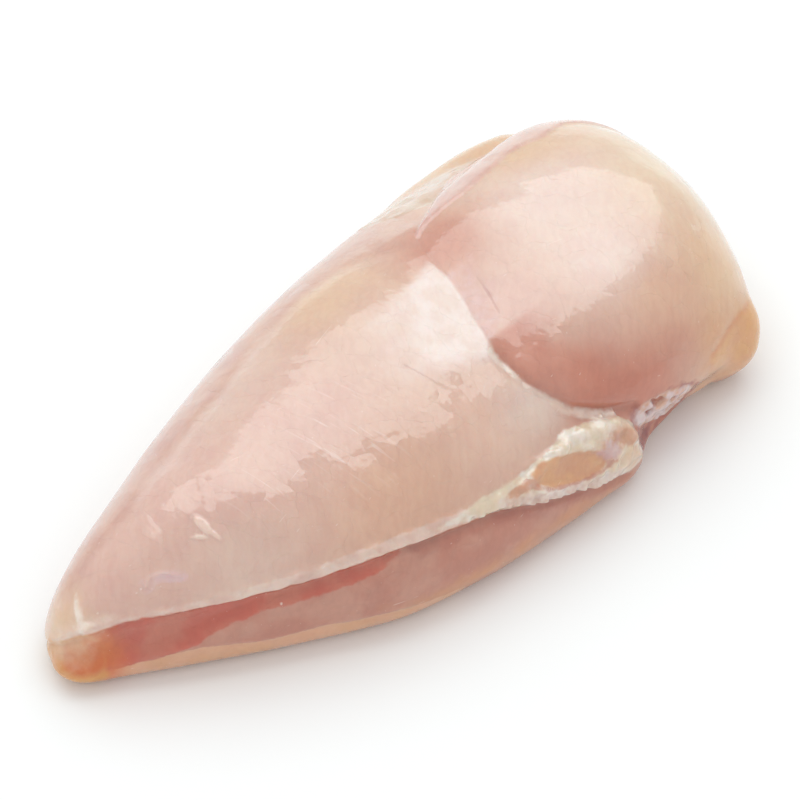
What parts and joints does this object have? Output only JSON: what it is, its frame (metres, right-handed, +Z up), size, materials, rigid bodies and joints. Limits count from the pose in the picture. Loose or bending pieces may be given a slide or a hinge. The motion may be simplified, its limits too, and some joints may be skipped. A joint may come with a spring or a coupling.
{
  "type": "raw boneless chicken breast",
  "caption": "Raw skinless boneless chicken breast lying smooth side up: a long tapered lobe, a thick round shoulder lobe, a seam of fat and a flat underside.",
  "frame": {"origin": "on the resting surface, under the middle of the breast's bounding box", "axes": "+X from the thin tail to the thick shoulder end, -Y the straight breastbone side with the seam of fat, +Z up from the flat underside"},
  "size_m": [0.18, 0.088, 0.039],
  "materials": {
    "meat": "wet, smooth raw meat under a thin clear membrane, with cream fat along the near edge"
  },
  "bodies": {
    "root": {"breast": "meat"}
  },
  "joints": []
}
